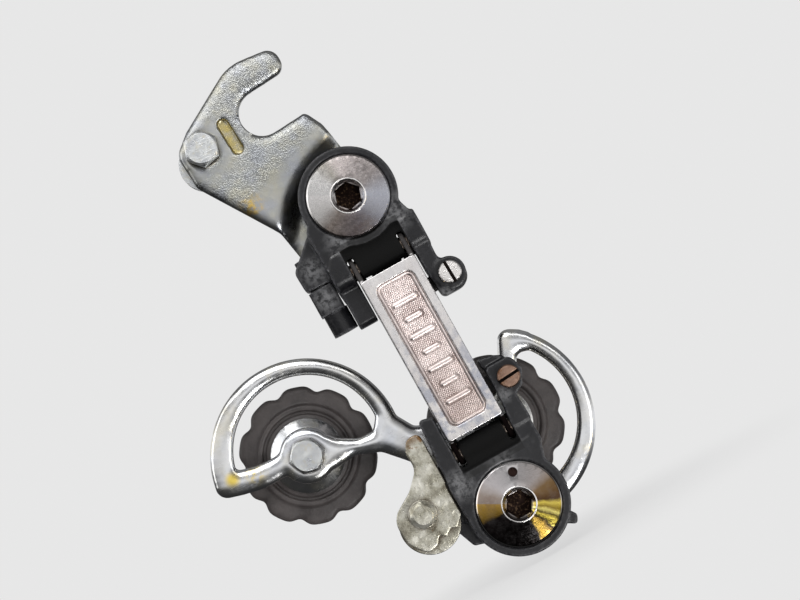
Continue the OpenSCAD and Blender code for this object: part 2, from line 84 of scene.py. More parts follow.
camera = bpy.data.objects.new("camera", bpy.data.cameras.new("camera"))
scene.collection.objects.link(camera)
camera.data.lens = SENSOR_WIDTH * AWAY / VIEW_WIDTH
camera.data.clip_start, camera.data.clip_end = 0.01, 20
look(camera, AIM + AWAY * (OUT * math.cos(TILT) - UP * math.sin(TILT)), AIM, UP)
scene.camera = camera


def node_centre(node):
    """Centre of a CAD node's box, in mm."""
    low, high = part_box(node)
    return tuple((low + high) / 2 / MM)


def outer_face(node):
    """Y of the outermost point of a CAD node, in mm."""
    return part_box(node)[0].y / MM


# ---- materials ----

class Finish:
    """One node material, its textures in millimetres of the object's own frame (the shared one at rest)."""

    def __init__(self, name, **shader):
        self.mat = bpy.data.materials.new(name)
        self.mat.use_nodes = True
        self.tree = self.mat.node_tree
        self.tree.nodes.clear()
        self.out = self.add("OutputMaterial")
        self.bsdf = self.add("BsdfPrincipled", {k.replace("_", " "): v for k, v in shader.items()})
        self.put(self.out, 0, self.bsdf.outputs[0])
        where = self.add("TexCoord").outputs["Object"]
        self.place = self.vector("SCALE", where, Scale=1 / MM)

    def add(self, kind, inputs=None, **props):
        node = self.tree.nodes.new("ShaderNode" + kind)
        for key, value in props.items():
            setattr(node, key, value)
        for key, value in (inputs or {}).items():
            self.put(node, key, value)
        return node

    def put(self, node, key, value):
        """Links a socket to an input, or sets the input to a constant."""
        socket = node.inputs[key]
        if isinstance(value, bpy.types.NodeSocket):
            self.tree.links.new(value, socket)
        elif socket.type == "RGBA" and len(value) == 3:
            socket.default_value = (*value, 1)
        else:
            socket.default_value = value

    def vector(self, operation, a, b=None, **inputs):
        given = {0: a, **inputs} if b is None else {0: a, 1: b, **inputs}
        node = self.add("VectorMath", given, operation=operation)
        return node.outputs["Value" if operation in ("LENGTH", "DISTANCE", "DOT_PRODUCT") else "Vector"]

    def math(self, operation, a, b):
        return self.add("Math", {0: a, 1: b}, operation=operation).outputs[0]

    def times(self, a, b):
        return self.math("MULTIPLY", a, b)

    def noise(self, scale, detail=3.0, rough=0.55, stretch=None, warp=0.0):
        """Smooth noise with blobs about 1/scale mm across, squeezed along each axis by stretch."""
        place = self.vector("MULTIPLY", self.place, stretch) if stretch else self.place
        return self.add("TexNoise", {"Vector": place, "Scale": scale, "Detail": detail, "Roughness": rough,
                                     "Distortion": warp}).outputs["Fac"]

    def cells(self, scale):
        """Distance to the nearest of many scattered points, about 1/scale mm apart."""
        return self.add("TexVoronoi", {"Vector": self.place, "Scale": scale}).outputs["Distance"]

    def fit(self, value, low, high, to_low=0.0, to_high=1.0):
        """Eases from to_low to to_high while value goes from low to high."""
        return self.add("MapRange", {"Value": value, "From Min": low, "From Max": high, "To Min": to_low,
                                     "To Max": to_high}, interpolation_type="SMOOTHSTEP").outputs[0]

    def ramp(self, value, *stops):
        """Colours of value: each stop is (place, colour)."""
        node = self.add("ValToRGB", {"Fac": value})
        marks = node.color_ramp.elements
        while len(marks) < len(stops):
            marks.new(0.5)
        for mark, (at, colour) in zip(marks, stops):
            mark.position, mark.color = at, (*colour, 1)
        return node.outputs["Color"]

    def mix(self, share, a, b):
        node = self.add("Mix", data_type="RGBA")
        self.put(node, 0, share)
        self.put(node, 6, a)
        self.put(node, 7, b)
        return node.outputs[2]

    def paint(self, base, mask, strength, colour):
        """Lays a colour over base where the mask is 1, with that strength."""
        return self.mix(self.times(mask, strength), base, colour)

    def near(self, centre, inner, outer):
        """1 within inner mm of a point and 0 beyond outer mm."""
        return self.fit(self.vector("DISTANCE", self.place, centre), inner, outer, 1.0, 0.0)

    def around(self, centre):
        """Distance from a line along Y, in mm."""
        flat = self.vector("MULTIPLY", self.vector("SUBTRACT", self.place, centre), (1, 0, 1))
        return self.vector("LENGTH", flat)

    def axis(self, name):
        """The place along X, Y or Z, in mm."""
        return self.add("SeparateXYZ", {0: self.place}).outputs[name]

    def within(self, value, low, high, soft):
        """1 between low and high, 0 outside, over soft mm at both ends."""
        return self.times(self.fit(value, low - soft, low), self.fit(value, high, high + soft, 1.0, 0.0))

    def edges(self, width, low=0.02, high=0.16):
        """1 along edges, 0 on flats: how far the rounded normal leans from the true one."""
        soft = self.add("Bevel", {"Radius": width * MM}, samples=4).outputs["Normal"]
        true = self.add("NewGeometry").outputs["Normal"]
        return self.fit(self.vector("DOT_PRODUCT", soft, true), 1 - high, 1 - low, 1.0, 0.0)

    def shade_and_dirt(self, reach, low=0.35, high=0.95):
        """1 deep in corners, 0 in the open: the mask for painted shade and soiling in corners."""
        node = self.add("AmbientOcclusion", {"Distance": reach * MM}, samples=6)
        return self.fit(node.outputs["AO"], low, high, 1.0, 0.0)

    def scratches(self, scale, direction, thin=0.52):
        """Sparse fine lines, long along one direction."""
        lines = self.noise(scale, 2.0, 0.6, stretch=direction, warp=0.15)
        return self.fit(lines, thin, thin + 0.1)

    def colour(self, value):
        self.put(self.bsdf, "Base Color", value)

    def roughness(self, value):
        self.put(self.bsdf, "Roughness", value)

    def bump(self, *layers):
        """Stacks bump layers, each (height, depth in mm)."""
        normal = None
        for height, depth in layers:
            given = {"Height": height, "Distance": depth * MM, "Strength": 1.0}
            if normal:
                given["Normal"] = normal
            normal = self.add("Bump", given).outputs["Normal"]
        self.put(self.bsdf, "Normal", normal)


# The hanger plate's window, and the line of its bend: a point on it and the way up the plate from it.
WINDOW_X, WINDOW_Z = -9.8, -1.5
BEND_POINT, BEND_UP = (4.5, 0, -14.9), (-0.353, 0, 0.935)
# The painted yellow glint at the end of the tension guard, a painted reflection, and the longer painted
# reflection that runs on from it.
GLINT, GLINT_STREAK = (-50.7, -3.0, -76.0), (-45.2, 0, -77.6)
# The caps' radii, each (from, to): the end of the socket's painted shade, the painted highlight ring, the
# start of the rim's painted highlight.
SOCKET_R, RING_R, RIM_R = (3.7, 3.9), (4.08, 4.3), (10.0, 10.2)
# The dark pits of the two black forks, painted black as their shade, each (from, to).
FORK_X, UPPER_FORK_Z, LOWER_FORK_Z = (-0.2, 15.6), (-51.5, -39.6), (-103.6, -92.0)
# Y of the outer link's recess floor.
RECESS_Y = -16.72


def zinc_plate():
    """Passivated zinc on pressed steel: pebbled round the claw, smooth by the bolt and along the bend."""
    f = Finish("zinc_plate", Metallic=1.0)
    cloud = f.noise(0.16, 4.0, 0.6)
    grain = f.noise(2.6, 4.0, 0.7)
    above = f.vector("DOT_PRODUCT", f.vector("SUBTRACT", f.place, BEND_POINT), BEND_UP)
    smooth = f.math("MAXIMUM", f.near(node_centre("hanger_bolt"), 6.5, 11.5),
                    f.fit(above, 1.2, 5.0, 1.0, 0.0))
    pebbled = f.times(f.math("SUBTRACT", 1.0, smooth), f.math("SUBTRACT", 1.0, f.edges(1.2, 0.02, 0.10)))
    cells = f.cells(3.0)
    pebbles = f.fit(cells, 0.1, 0.75, 1.0, 0.0)
    base = f.ramp(cloud, (0.3, (0.36, 0.37, 0.36)), (0.55, (0.47, 0.475, 0.455)),
                  (0.75, (0.56, 0.555, 0.52)))
    tint = f.ramp(f.noise(0.22, 3.0), (0.35, (0.42, 0.44, 0.50)), (0.5, (0.47, 0.475, 0.46)),
                  (0.68, (0.55, 0.52, 0.40)))
    base = f.mix(0.5, base, tint)
    stain = f.times(f.near((-13.6, -1.5, -19.4), 1.2, 4.6), f.fit(f.noise(0.7, 3.0), 0.38, 0.62))
    base = f.paint(base, stain, 0.9, (0.80, 0.55, 0.13))
    window = f.times(f.fit(f.around((WINDOW_X, 0, WINDOW_Z)), 4.6, 5.6, 1.0, 0.0),
                     f.fit(f.axis("Y"), -2.2, -1.7))
    base = f.paint(base, window, f.fit(f.noise(0.5, 3.0), 0.3, 0.65, 0.35, 0.95), (0.58, 0.47, 0.17))
    # Corners darkened: painted shade, with some soiling.
    base = f.paint(base, f.shade_and_dirt(1.2), 0.6, (0.22, 0.19, 0.12))
    base = f.paint(base, f.times(f.fit(cells, 0.5, 0.8), pebbled), 0.35, (0.17, 0.18, 0.18))
    # Lighter edges: a painted highlight.
    base = f.paint(base, f.edges(0.6), 0.6, (0.80, 0.80, 0.76))
    f.colour(base)
    f.roughness(f.fit(f.math("ADD", cloud, f.times(grain, 0.35)), 0.5, 0.9, 0.26, 0.42))
    f.bump((f.times(pebbles, pebbled), 0.042), (grain, 0.016), (f.noise(0.35, 2.0), 0.10))
    return f.mat


def zinc_part():
    """Zinc on the bolts and nuts: satin faces with brownish corners of painted shade and soiling."""
    f = Finish("zinc_part", Metallic=1.0)
    cloud = f.noise(0.5, 4.0, 0.6)
    base = f.ramp(cloud, (0.3, (0.58, 0.60, 0.62)), (0.7, (0.72, 0.73, 0.72)))
    base = f.paint(base, f.fit(f.noise(0.8, 3.0), 0.5, 0.7), 0.35, (0.60, 0.54, 0.38))
    # Corners darkened brown: painted shade and soiling.
    base = f.paint(base, f.shade_and_dirt(1.2), 0.85, (0.13, 0.085, 0.05))
    f.colour(base)
    f.roughness(f.fit(cloud, 0.3, 0.7, 0.26, 0.44))
    f.bump((f.noise(3.5, 4.0, 0.7), 0.03), (f.scratches(1.6, (0.15, 1.0, 2.2)), 0.01))
    return f.mat


def chrome_plate(name, shade_and_grime):
    """Bright plate on the cage parts, a little wavy, with yellowed patches, a painted yellow reflection, and
    corners darkened by painted shade and soiling.
    """
    f = Finish(name, Metallic=1.0)
    base = f.ramp(f.noise(0.10, 3.0), (0.35, (0.76, 0.78, 0.82)), (0.65, (0.86, 0.85, 0.82)))
    base = f.paint(base, f.fit(f.noise(0.15, 3.0), 0.52, 0.68), 0.4, (0.76, 0.70, 0.52))
    front = outer_face("cage_outer_plate")
    # A painted yellow reflection on the front face: the glint and its longer tail.
    glint = f.fit(f.around(GLINT), 0.6, 2.6, 0.95, 0.0)
    glint_streak = f.times(f.fit(f.around(GLINT_STREAK), 0.5, 4.0, 0.6, 0.0), f.fit(f.noise(0.7, 4.0), 0.4, 0.6))
    base = f.paint(base, f.math("MAXIMUM", glint, glint_streak),
                   f.fit(f.axis("Y"), front + 0.9, front + 1.4, 1.0, 0.0), (0.95, 0.72, 0.14))
    # Corners darkened: painted shade and soiling.
    base = f.paint(base, f.shade_and_dirt(1.6), shade_and_grime, (0.10, 0.08, 0.07))
    pits = f.times(f.fit(f.noise(1.1, 5.0, 0.75), 0.56, 0.70), f.fit(f.noise(0.2), 0.45, 0.6))
    base = f.paint(base, pits, 0.45, (0.36, 0.38, 0.42))
    f.colour(base)
    marks = f.scratches(0.9, (0.25, 1.0, 3.0), 0.58)
    f.roughness(f.math("ADD", f.fit(f.noise(0.3, 3.0), 0.3, 0.7, 0.15, 0.25), f.times(marks, 0.06)))
    f.bump((f.noise(0.22, 2.0), 0.05), (marks, 0.002))
    return f.mat


def turned_cap(name, node, sectors, haze, stains, low, high, hole=None):
    """A lathe-turned plated cap: fine rings, sectors of painted reflection, stains, a painted highlight ring
    round the socket, whose inside is painted shade.

    The sectors are painted reflections: stops of a colour ramp that runs once round, from the camera's left
    by its bottom.
    Each stain is (place from the cap's centre, reach, strength, colour). The hole is a small drilled hole,
    painted dark as its shade.
    The roughness lies between low and high."""
    f = Finish(name, Metallic=1.0, Anisotropic=0.6)
    centre = node_centre(node)
    radius = f.around(centre)
    heading = f.vector("SUBTRACT", f.place, centre)
    right, up = (f.vector("DOT_PRODUCT", heading, tuple(axis)) for axis in (RIGHT, UP))
    # Painted reflections: colours set by the angle round the cap, from the sector stops.
    wobble = f.times(f.math("SUBTRACT", f.noise(0.25, 4.0, 0.6), 0.5), 0.05)
    turn = f.math("ADD", f.math("DIVIDE", f.math("ARCTAN2", up, right), 2 * math.pi), 0.5)
    base = f.ramp(f.math("ADD", turn, wobble), *sectors)
    rings = f.add("TexNoise", {"W": radius, "Scale": 9.0, "Detail": 3.0, "Roughness": 0.7},
                  noise_dimensions="1D").outputs["Fac"]
    base = f.mix(f.fit(f.noise(0.6, 5.0, 0.7), 0.35, 0.7, 0.0, haze), base, (0.60, 0.58, 0.57))
    for place, reach, strength, tint in stains:
        where = f.vector("ADD", centre, place)
        spot = f.times(f.fit(f.vector("DISTANCE", f.place, where), 0.5, reach, 1.0, 0.0),
                       f.fit(f.noise(0.9, 4.0, 0.65), 0.34, 0.6))
        base = f.paint(base, spot, strength, tint)
    specks = f.times(f.fit(f.cells(1.5), 0.0, 0.16, 1.0, 0.0), f.fit(f.noise(0.3), 0.48, 0.62))
    base = f.paint(base, specks, 0.6, (0.10, 0.08, 0.07))
    # A painted highlight ring round the socket, and painted shade darkening the chamfer down into it.
    ring = f.within(radius, *RING_R, 0.15)
    base = f.paint(base, f.fit(radius, 3.1, 3.9, 1.0, 0.0), 0.6, (0.34, 0.31, 0.30))
    base = f.mix(ring, base, (0.95, 0.92, 0.90))
    # A painted highlight on the rim.
    base = f.paint(base, f.fit(radius, *RIM_R), 0.6, (0.85, 0.83, 0.81))
    # The socket's inside: painted shade, with grimy patches.
    socket = f.times(f.fit(f.axis("Y"), -17.2, -16.4), f.fit(radius, *SOCKET_R, 1.0, 0.0))
    shade_and_grime = f.mix(f.fit(f.noise(1.4, 4.0, 0.7), 0.5, 0.7), (0.020, 0.012, 0.010), (0.20, 0.13, 0.08))
    base = f.mix(socket, base, shade_and_grime)
    if hole:
        # The drilled hole: painted dark as its shade.
        drilling_shade = f.fit(f.around(f.vector("ADD", centre, hole)), 1.10, 1.22, 1.0, 0.0)
        base = f.mix(drilling_shade, base, (0.030, 0.018, 0.015))
    f.colour(base)
    f.roughness(f.math("ADD", f.fit(f.math("ADD", rings, f.noise(1.2, 3.0)), 0.7, 1.3, low, high),
                       f.times(socket, 0.4)))
    f.put(f.bsdf, "Tangent", f.add("Tangent", direction_type="RADIAL", axis="Y").outputs[0])
    f.bump((ring, 0.05), (rings, 0.006), (f.noise(1.4, 4.0, 0.7), 0.01))
    return f.mat


def black_acetal():
    """Satin black moulding: dusty, scuffed grey in places with painted sheen, painted highlights along worn
    edges, and painted black shade down in the two forks.
    """
    f = Finish("black_acetal", Specular_IOR_Level=0.45)
    cloud = f.noise(0.14, 4.0, 0.6)
    grain = f.noise(1.5, 5.0, 0.7)
    base = f.ramp(cloud, (0.3, (0.003, 0.003, 0.004)), (0.7, (0.009, 0.009, 0.011)))
    # Lighter grainy edges: painted highlight and wear.
    worn = f.times(f.edges(1.0, 0.01, 0.09), f.fit(grain, 0.34, 0.60))
    base = f.paint(base, worn, 0.8, (0.15, 0.15, 0.16))
    # Lighter grey patches: painted sheen, partly scuffing.
    scuffs_and_sheen = f.near((15.6, -16, -38.6), 1.5, 6.5)
    for place, reach in (((1.5, -16, -38.5), 5.5), ((9.0, -16, -102.5), 5.0), ((18.3, -14, -62.0), 3.4),
                         ((17.8, -15, -90.0), 3.2), ((-8.0, -10, -41.5), 5.0), ((-8.8, -9.5, -48.8), 4.6),
                         ((-2.5, -16, -104.0), 5.5)):
        scuffs_and_sheen = f.math("MAXIMUM", scuffs_and_sheen, f.near(place, 0.8, reach))
    scuffs_and_sheen = f.times(scuffs_and_sheen, f.fit(f.noise(0.7, 5.0, 0.7), 0.36, 0.62))
    base = f.paint(base, scuffs_and_sheen, 0.85, (0.17, 0.17, 0.175))
    base = f.paint(base, f.fit(f.noise(0.35, 5.0, 0.7), 0.52, 0.72), 0.4, (0.035, 0.035, 0.037))
    # Down in the forks: painted black shade, matte.
    upper = f.within(f.axis("Z"), *UPPER_FORK_Z, 0.3)
    lower = f.within(f.axis("Z"), *LOWER_FORK_Z, 0.3)
    painted_fork_shade = f.times(f.within(f.axis("X"), *FORK_X, 0.3), f.fit(f.axis("Y"), -16.6, -15.9))
    painted_fork_shade = f.times(painted_fork_shade, f.math("MAXIMUM", upper, lower))
    f.colour(f.mix(painted_fork_shade, base, (0.0, 0.0, 0.0)))
    gloss = f.math("ADD", f.fit(cloud, 0.3, 0.7, 0.22, 0.36), f.times(grain, 0.12))
    f.roughness(f.math("MAXIMUM", gloss, painted_fork_shade))
    f.bump((f.noise(0.45, 3.0), 0.10), (grain, 0.025))
    return f.mat


def pulley_moulding():
    """Dull dark grey moulding, darkened in its valleys by painted shade and grease, lighter at its teeth's
    edges by painted highlight and rubbing.
    """
    f = Finish("pulley_moulding", Specular_IOR_Level=0.45)
    cloud = f.noise(0.2, 4.0, 0.6)
    grain = f.noise(2.2, 4.0, 0.7)
    base = f.ramp(cloud, (0.3, (0.034, 0.029, 0.028)), (0.7, (0.070, 0.060, 0.058)))
    # Lighter edges: painted highlight and rubbing.
    base = f.paint(base, f.edges(0.5), 0.45, (0.16, 0.145, 0.14))
    # Darker valleys: painted shade and grease.
    base = f.paint(base, f.shade_and_dirt(1.5), 0.6, (0.010, 0.008, 0.007))
    f.colour(base)
    f.roughness(f.fit(f.math("ADD", cloud, grain), 0.7, 1.3, 0.36, 0.62))
    f.bump((grain, 0.04), (f.noise(0.5, 2.0), 0.10))
    return f.mat


def link_plating():
    """Nickel-bright frame of the outer link, scratched and pitted, with painted edge highlights, painted
    shade and soiling in corners, blue-grey painted shade towards its bottom, and near-black painted shade
    where the forks hide its ends and down its recess wall.
    """
    f = Finish("link_plating", Metallic=1.0)
    base = f.ramp(f.noise(0.25, 4.0, 0.6), (0.3, (0.78, 0.74, 0.72)), (0.7, (0.92, 0.89, 0.87)))
    # Blue-grey patches, more towards the bottom: plating tone and painted shade.
    patch = f.times(f.fit(f.noise(0.45, 4.0), 0.40, 0.60), f.fit(f.axis("Z"), -84.0, -58.0, 0.9, 0.15))
    base = f.mix(patch, base, (0.50, 0.51, 0.57))
    pits = f.times(f.fit(f.cells(1.6), 0.0, 0.2, 1.0, 0.0), f.fit(f.noise(0.35), 0.5, 0.6))
    base = f.paint(base, pits, 0.6, (0.22, 0.18, 0.17))
    # Lighter edges: a painted highlight.
    base = f.paint(base, f.edges(0.3), 0.8, (0.98, 0.96, 0.95))
    # Corners darkened: painted shade and soiling.
    base = f.paint(base, f.shade_and_dirt(0.7, 0.3, 0.9), 0.7, (0.12, 0.08, 0.07))
    # Near-black at the ends that the forks hide and down the recess wall: painted shade.
    ends = f.math("MAXIMUM", f.fit(f.axis("Z"), -49.8, -49.5, 0.0, 0.9),
                  f.fit(f.axis("Z"), -94.4, -94.1, 1.0, 0.0))
    shade_and_grime = f.math("MAXIMUM", ends, f.fit(f.axis("Y"), -17.0, RECESS_Y, 0.0, 0.75))
    base = f.mix(shade_and_grime, base, (0.010, 0.007, 0.007))
    f.colour(base)
    marks = f.scratches(1.1, (2.4, 1.0, 0.3), 0.56)
    wear = f.math("ADD", f.fit(f.noise(0.8, 4.0), 0.3, 0.7, 0.20, 0.34), f.times(marks, 0.15))
    f.roughness(f.math("MAXIMUM", wear, f.times(ends, 0.8)))
    f.bump((f.noise(0.5, 3.0), 0.04), (marks, 0.01), (f.noise(3.0, 3.0, 0.7), 0.006))
    return f.mat


def link_panel_finish():
    """The sunk panel: duller and pinker than its frame, brown down in the cuts of the hatching, darker
    towards its bottom with painted shade.
    """
    f = Finish("link_panel_finish", Metallic=1.0)
    base = f.ramp(f.noise(0.3, 4.0), (0.3, (0.84, 0.72, 0.69)), (0.7, (0.97, 0.87, 0.84)))
    cuts = f.fit(f.axis("Y"), RECESS_Y - 0.12, RECESS_Y - 0.02)
    base = f.paint(base, cuts, f.fit(f.noise(0.16, 3.0), 0.35, 0.65, 0.35, 0.80), (0.12, 0.060, 0.050))
    # Darker towards the bottom: painted shade.
    base = f.mix(f.fit(f.axis("Z"), -93.0, -62.0, 0.55, 0.0), base, (0.34, 0.27, 0.24))
    f.colour(base)
    f.roughness(f.fit(f.noise(1.2, 4.0), 0.3, 0.7, 0.30, 0.46))
    f.bump((f.noise(3.5, 3.0, 0.7), 0.008),)
    return f.mat


def plain_steel(name, dark, light, low, high, rust=0.0, face=None):
    """Bare or tarnished steel between two shades, with rust in patches, a painted highlight on its edges, and
    painted shade with soiling in its corners.

    The roughness lies between low and high. With a face (its Y in mm), all that lies deeper than the face,
    such as a screw's slot, is painted black as its shade."""
    f = Finish(name, Metallic=1.0)
    cloud = f.noise(0.35, 5.0, 0.65)
    base = f.ramp(cloud, (0.3, dark), (0.7, light))
    # Lighter edges: a painted highlight.
    base = f.paint(base, f.edges(0.25), 0.4, tuple(min(1, c * 1.35) for c in light))
    if rust:
        patch = f.fit(f.noise(0.5, 5.0, 0.7), 0.66 - 0.3 * rust, 0.80 - 0.3 * rust)
        base = f.paint(base, patch, 0.8, (0.20, 0.095, 0.045))
    # Corners darkened: painted shade and soiling.
    base = f.paint(base, f.shade_and_dirt(1.0), 0.7, (0.07, 0.05, 0.035))
    # Deeper than the face, such as a slot: painted black shade.
    if face is not None:
        base = f.mix(f.fit(f.axis("Y"), face + 0.35, face + 0.6), base, (0.012, 0.009, 0.008))
    f.colour(base)
    f.roughness(f.fit(f.math("ADD", cloud, f.noise(2.0, 3.0)), 0.7, 1.3, low, high))
    f.bump((f.noise(1.8, 4.0, 0.7), 0.03), (f.scratches(1.5, (0.3, 1.0, 2.0)), 0.012))
    return f.mat


def tarnished_anchor():
    """Old yellow-grey steel of the cable anchor, rusty in patches and at the top of its arm, with painted
    edge highlights and painted shade with soiling in its corners.
    """
    f = Finish("tarnished_anchor", Metallic=0.85)
    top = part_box("cable_anchor_arm")[1].z / MM
    cloud = f.noise(0.22, 5.0, 0.65)
    base = f.ramp(cloud, (0.32, (0.16, 0.14, 0.10)), (0.46, (0.44, 0.42, 0.34)), (0.66, (0.76, 0.74, 0.66)))
    tip = f.fit(f.axis("Z"), top - 5.5, top - 0.5)
    rust = f.math("ADD", f.times(tip, 0.6), f.fit(f.noise(0.6, 5.0, 0.7), 0.45, 0.75, 0.0, 0.6))
    base = f.mix(f.fit(rust, 0.35, 0.75), base, (0.22, 0.12, 0.05))
    # Corners darkened: painted shade and soiling.
    base = f.paint(base, f.shade_and_dirt(1.4), 0.75, (0.09, 0.06, 0.04))
    # Lighter edges: a painted highlight.
    base = f.paint(base, f.edges(0.4), 0.45, (0.72, 0.70, 0.62))
    f.colour(base)
    f.roughness(f.fit(f.math("ADD", cloud, f.noise(1.6, 3.0)), 0.7, 1.3, 0.22, 0.42))
    f.bump((f.noise(0.5, 3.0, 0.6), 0.22), (f.noise(3.0, 4.0, 0.7), 0.03))
    return f.mat


# ---- making pieces ----

WELD_DISTANCE = 0.004 * MM
SIDE_NORMAL = 0.6
CREST_REACH = 0.35 * MM


def add_piece(name, mesh, material, body, slot, *replaced):
    """Shows a finished mesh as a piece that rides on a body and stands for the replaced CAD nodes."""
    mesh.name = name
    obj = bpy.data.objects.new(name, mesh)
    scene.collection.objects.link(obj)
    mesh.materials.clear()
    mesh.materials.append(material)
    mesh.polygons.foreach_set("use_smooth", [True] * len(mesh.polygons))
    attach(obj, body)
    if replaced:
        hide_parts(*replaced)


def new_mesh(name, points, faces):
    mesh = bpy.data.meshes.new(name)
    mesh.from_pydata(points, [], faces)
    mesh.update()
    return mesh


def weld(obj):
    """Joins the CAD mesh's doubled vertices."""
    obj.modifiers.new("weld", "WELD").merge_threshold = WELD_DISTANCE


def snapshot(obj):
    """The object's mesh with its modifiers applied, as a new mesh."""
    return bpy.data.meshes.new_from_object(obj.evaluated_get(bpy.context.evaluated_depsgraph_get()))


def softened(node, voxel, rounds, reach=0.0, height=0.0, spared=(0, 0, 0)):
    """A copy of a CAD node's mesh, remeshed in voxels of that many mm and worn round by rounds of smoothing.

    With a reach, its outer face is pillowed before the smoothing: it falls by height mm over the last reach
    mm to the outline. Nothing is pillowed in a spared circle (x, z, radius)."""
    obj = bpy.data.objects.new("draft", nodes[node].data.copy())
    scene.collection.objects.link(obj)
    weld(obj)
    remesh = obj.modifiers.new("remesh", "REMESH")
    remesh.mode = "VOXEL"
    remesh.voxel_size = voxel * MM
    mesh = snapshot(obj)
    if reach:
        pillow(mesh, reach, height, spared)
    obj.modifiers.clear()
    obj.data = mesh
    smooth = obj.modifiers.new("smooth", "SMOOTH")
    smooth.factor, smooth.iterations = 0.5, rounds
    mesh = snapshot(obj)
    bpy.data.objects.remove(obj)
    return mesh


def pillow(mesh, reach, height, spared):
    """Rounds the outer (-Y) face of a plate down towards its outline, but for the spared circle.

    The sides' vertices that stood near the face come down with it."""
    x, z, radius = (value * MM for value in spared)
    sides = [v for v in mesh.vertices
             if abs(v.normal.y) < SIDE_NORMAL and math.hypot(v.co.x - x, v.co.z - z) >= radius]
    tree = KDTree(len(sides))
    for i, v in enumerate(sides):
        tree.insert((v.co.x, 0, v.co.z), i)
    tree.balance()
    moves = []
    for v in mesh.vertices:
        if v.normal.y <= -SIDE_NORMAL:
            away = min(1.0, tree.find((v.co.x, 0, v.co.z))[2] / MM / reach)
            moves.append((v, v.co.y + MM * height * (1 - math.sqrt(1 - (1 - away) ** 2))))
    for v in sides:
        near = tree.find_range((v.co.x, 0, v.co.z), CREST_REACH)
        crest = min(sides[i].co.y for _, i, _ in near)
        moves.append((v, max(v.co.y, crest + MM * height)))
    for v, y in moves:
        v.co.y = y


def lathe(outline, steps, centre, swell):
    """Turns an outline of (radius, y from the centre) points, in mm, about a line along Y.

    swell(angle, radius) gives each point's radius."""
    points, faces, n = [], [], len(outline)
    for i in range(steps):
        a = 2 * math.pi * i / steps
        for r, y in outline:
            r = swell(a, r)
            points.append(((centre[0] + r * math.cos(a)) * MM, (centre[1] + y) * MM,
                           (centre[2] + r * math.sin(a)) * MM))
    for i in range(steps):
        j = (i + 1) % steps
        for k in range(n):
            m = (k + 1) % n
            faces.append((i * n + k, i * n + m, j * n + m, j * n + k))
    return new_mesh("lathe", points, faces)


def polish(node, width, material):
    """Gives a CAD node its finish and edges rounded by width mm."""
    obj = nodes[node]
    obj.data.polygons.foreach_set("use_smooth", [True] * len(obj.data.polygons))
    for slot in obj.material_slots:
        slot.material = material
    weld(obj)
    if width:
        bevel = obj.modifiers.new("bevel", "BEVEL")
        bevel.width = width * MM
        bevel.segments = 3
        bevel.limit_method = "ANGLE"
        bevel.angle_limit = math.radians(28)
    obj.modifiers.new("normals", "WEIGHTED_NORMAL").keep_sharp = False


# ---- finishes and edges of the CAD nodes ----

ZINC_PLATE = zinc_plate()
ZINC = zinc_part()
CHROME = chrome_plate("chrome_plate", 0.6)
# The pulley caps' chrome: less painted shade and soiling in its corners.
PULLEY_CAP_CHROME = chrome_plate("pulley_cap_chrome", 0.12)
# The sector stops of both caps are painted reflections of the turned faces.
UPPER_CAP = turned_cap(
    "upper_cap_finish", "upper_pivot_bolt",
    [(0.00, (0.62, 0.60, 0.59)), (0.10, (0.60, 0.58, 0.56)), (0.17, (0.30, 0.25, 0.22)),
     (0.30, (0.26, 0.22, 0.23)), (0.40, (0.34, 0.34, 0.38)), (0.52, (0.46, 0.47, 0.52)),
     (0.62, (0.40, 0.36, 0.35)), (0.80, (0.37, 0.33, 0.32)), (0.86, (0.25, 0.235, 0.21)),
     (0.93, (0.56, 0.55, 0.54))], 0.15,
    [((0.5, -8, -8.2), 6.0, 0.7, (0.20, 0.12, 0.05)), ((6, -8, -2), 5.0, 0.4, (0.24, 0.25, 0.31))],
    0.16, 0.30)
LOWER_CAP = turned_cap(
    "lower_cap_finish", "lower_pivot_bolt",
    [(0.00, (0.42, 0.26, 0.05)), (0.07, (0.30, 0.18, 0.03)), (0.09, (0.02, 0.015, 0.015)),
     (0.34, (0.010, 0.008, 0.008)), (0.36, (0.40, 0.26, 0.04)), (0.395, (0.26, 0.16, 0.03)),
     (0.41, (0.03, 0.02, 0.01)), (0.43, (0.95, 0.75, 0.12)), (0.445, (0.12, 0.08, 0.01)),
     (0.465, (1.0, 0.85, 0.25)), (0.485, (0.30, 0.20, 0.02)), (0.51, (0.75, 0.58, 0.10)),
     (0.53, (0.08, 0.04, 0.02)), (0.60, (0.20, 0.12, 0.05)), (0.67, (0.50, 0.45, 0.43)),
     (0.80, (0.62, 0.60, 0.60)), (0.90, (0.52, 0.49, 0.49)), (0.96, (0.34, 0.28, 0.24))], 0.07,
    [((-6, -9, 3.5), 4.0, 0.5, (0.20, 0.13, 0.10))],
    0.08, 0.16, (2.4, 0, 7.5))
BLACK = black_acetal()
PULLEY = pulley_moulding()
LINK = link_plating()
PANEL = link_panel_finish()
PIN = plain_steel("pin_steel_finish", (0.40, 0.40, 0.40), (0.62, 0.61, 0.60), 0.22, 0.40, 0.1)
INNER = plain_steel("inner_link_finish", (0.03, 0.03, 0.033), (0.09, 0.085, 0.085), 0.36, 0.55, 0.25)
SPRING = plain_steel("spring_finish", (0.06, 0.06, 0.06), (0.14, 0.135, 0.13), 0.28, 0.45, 0.2)
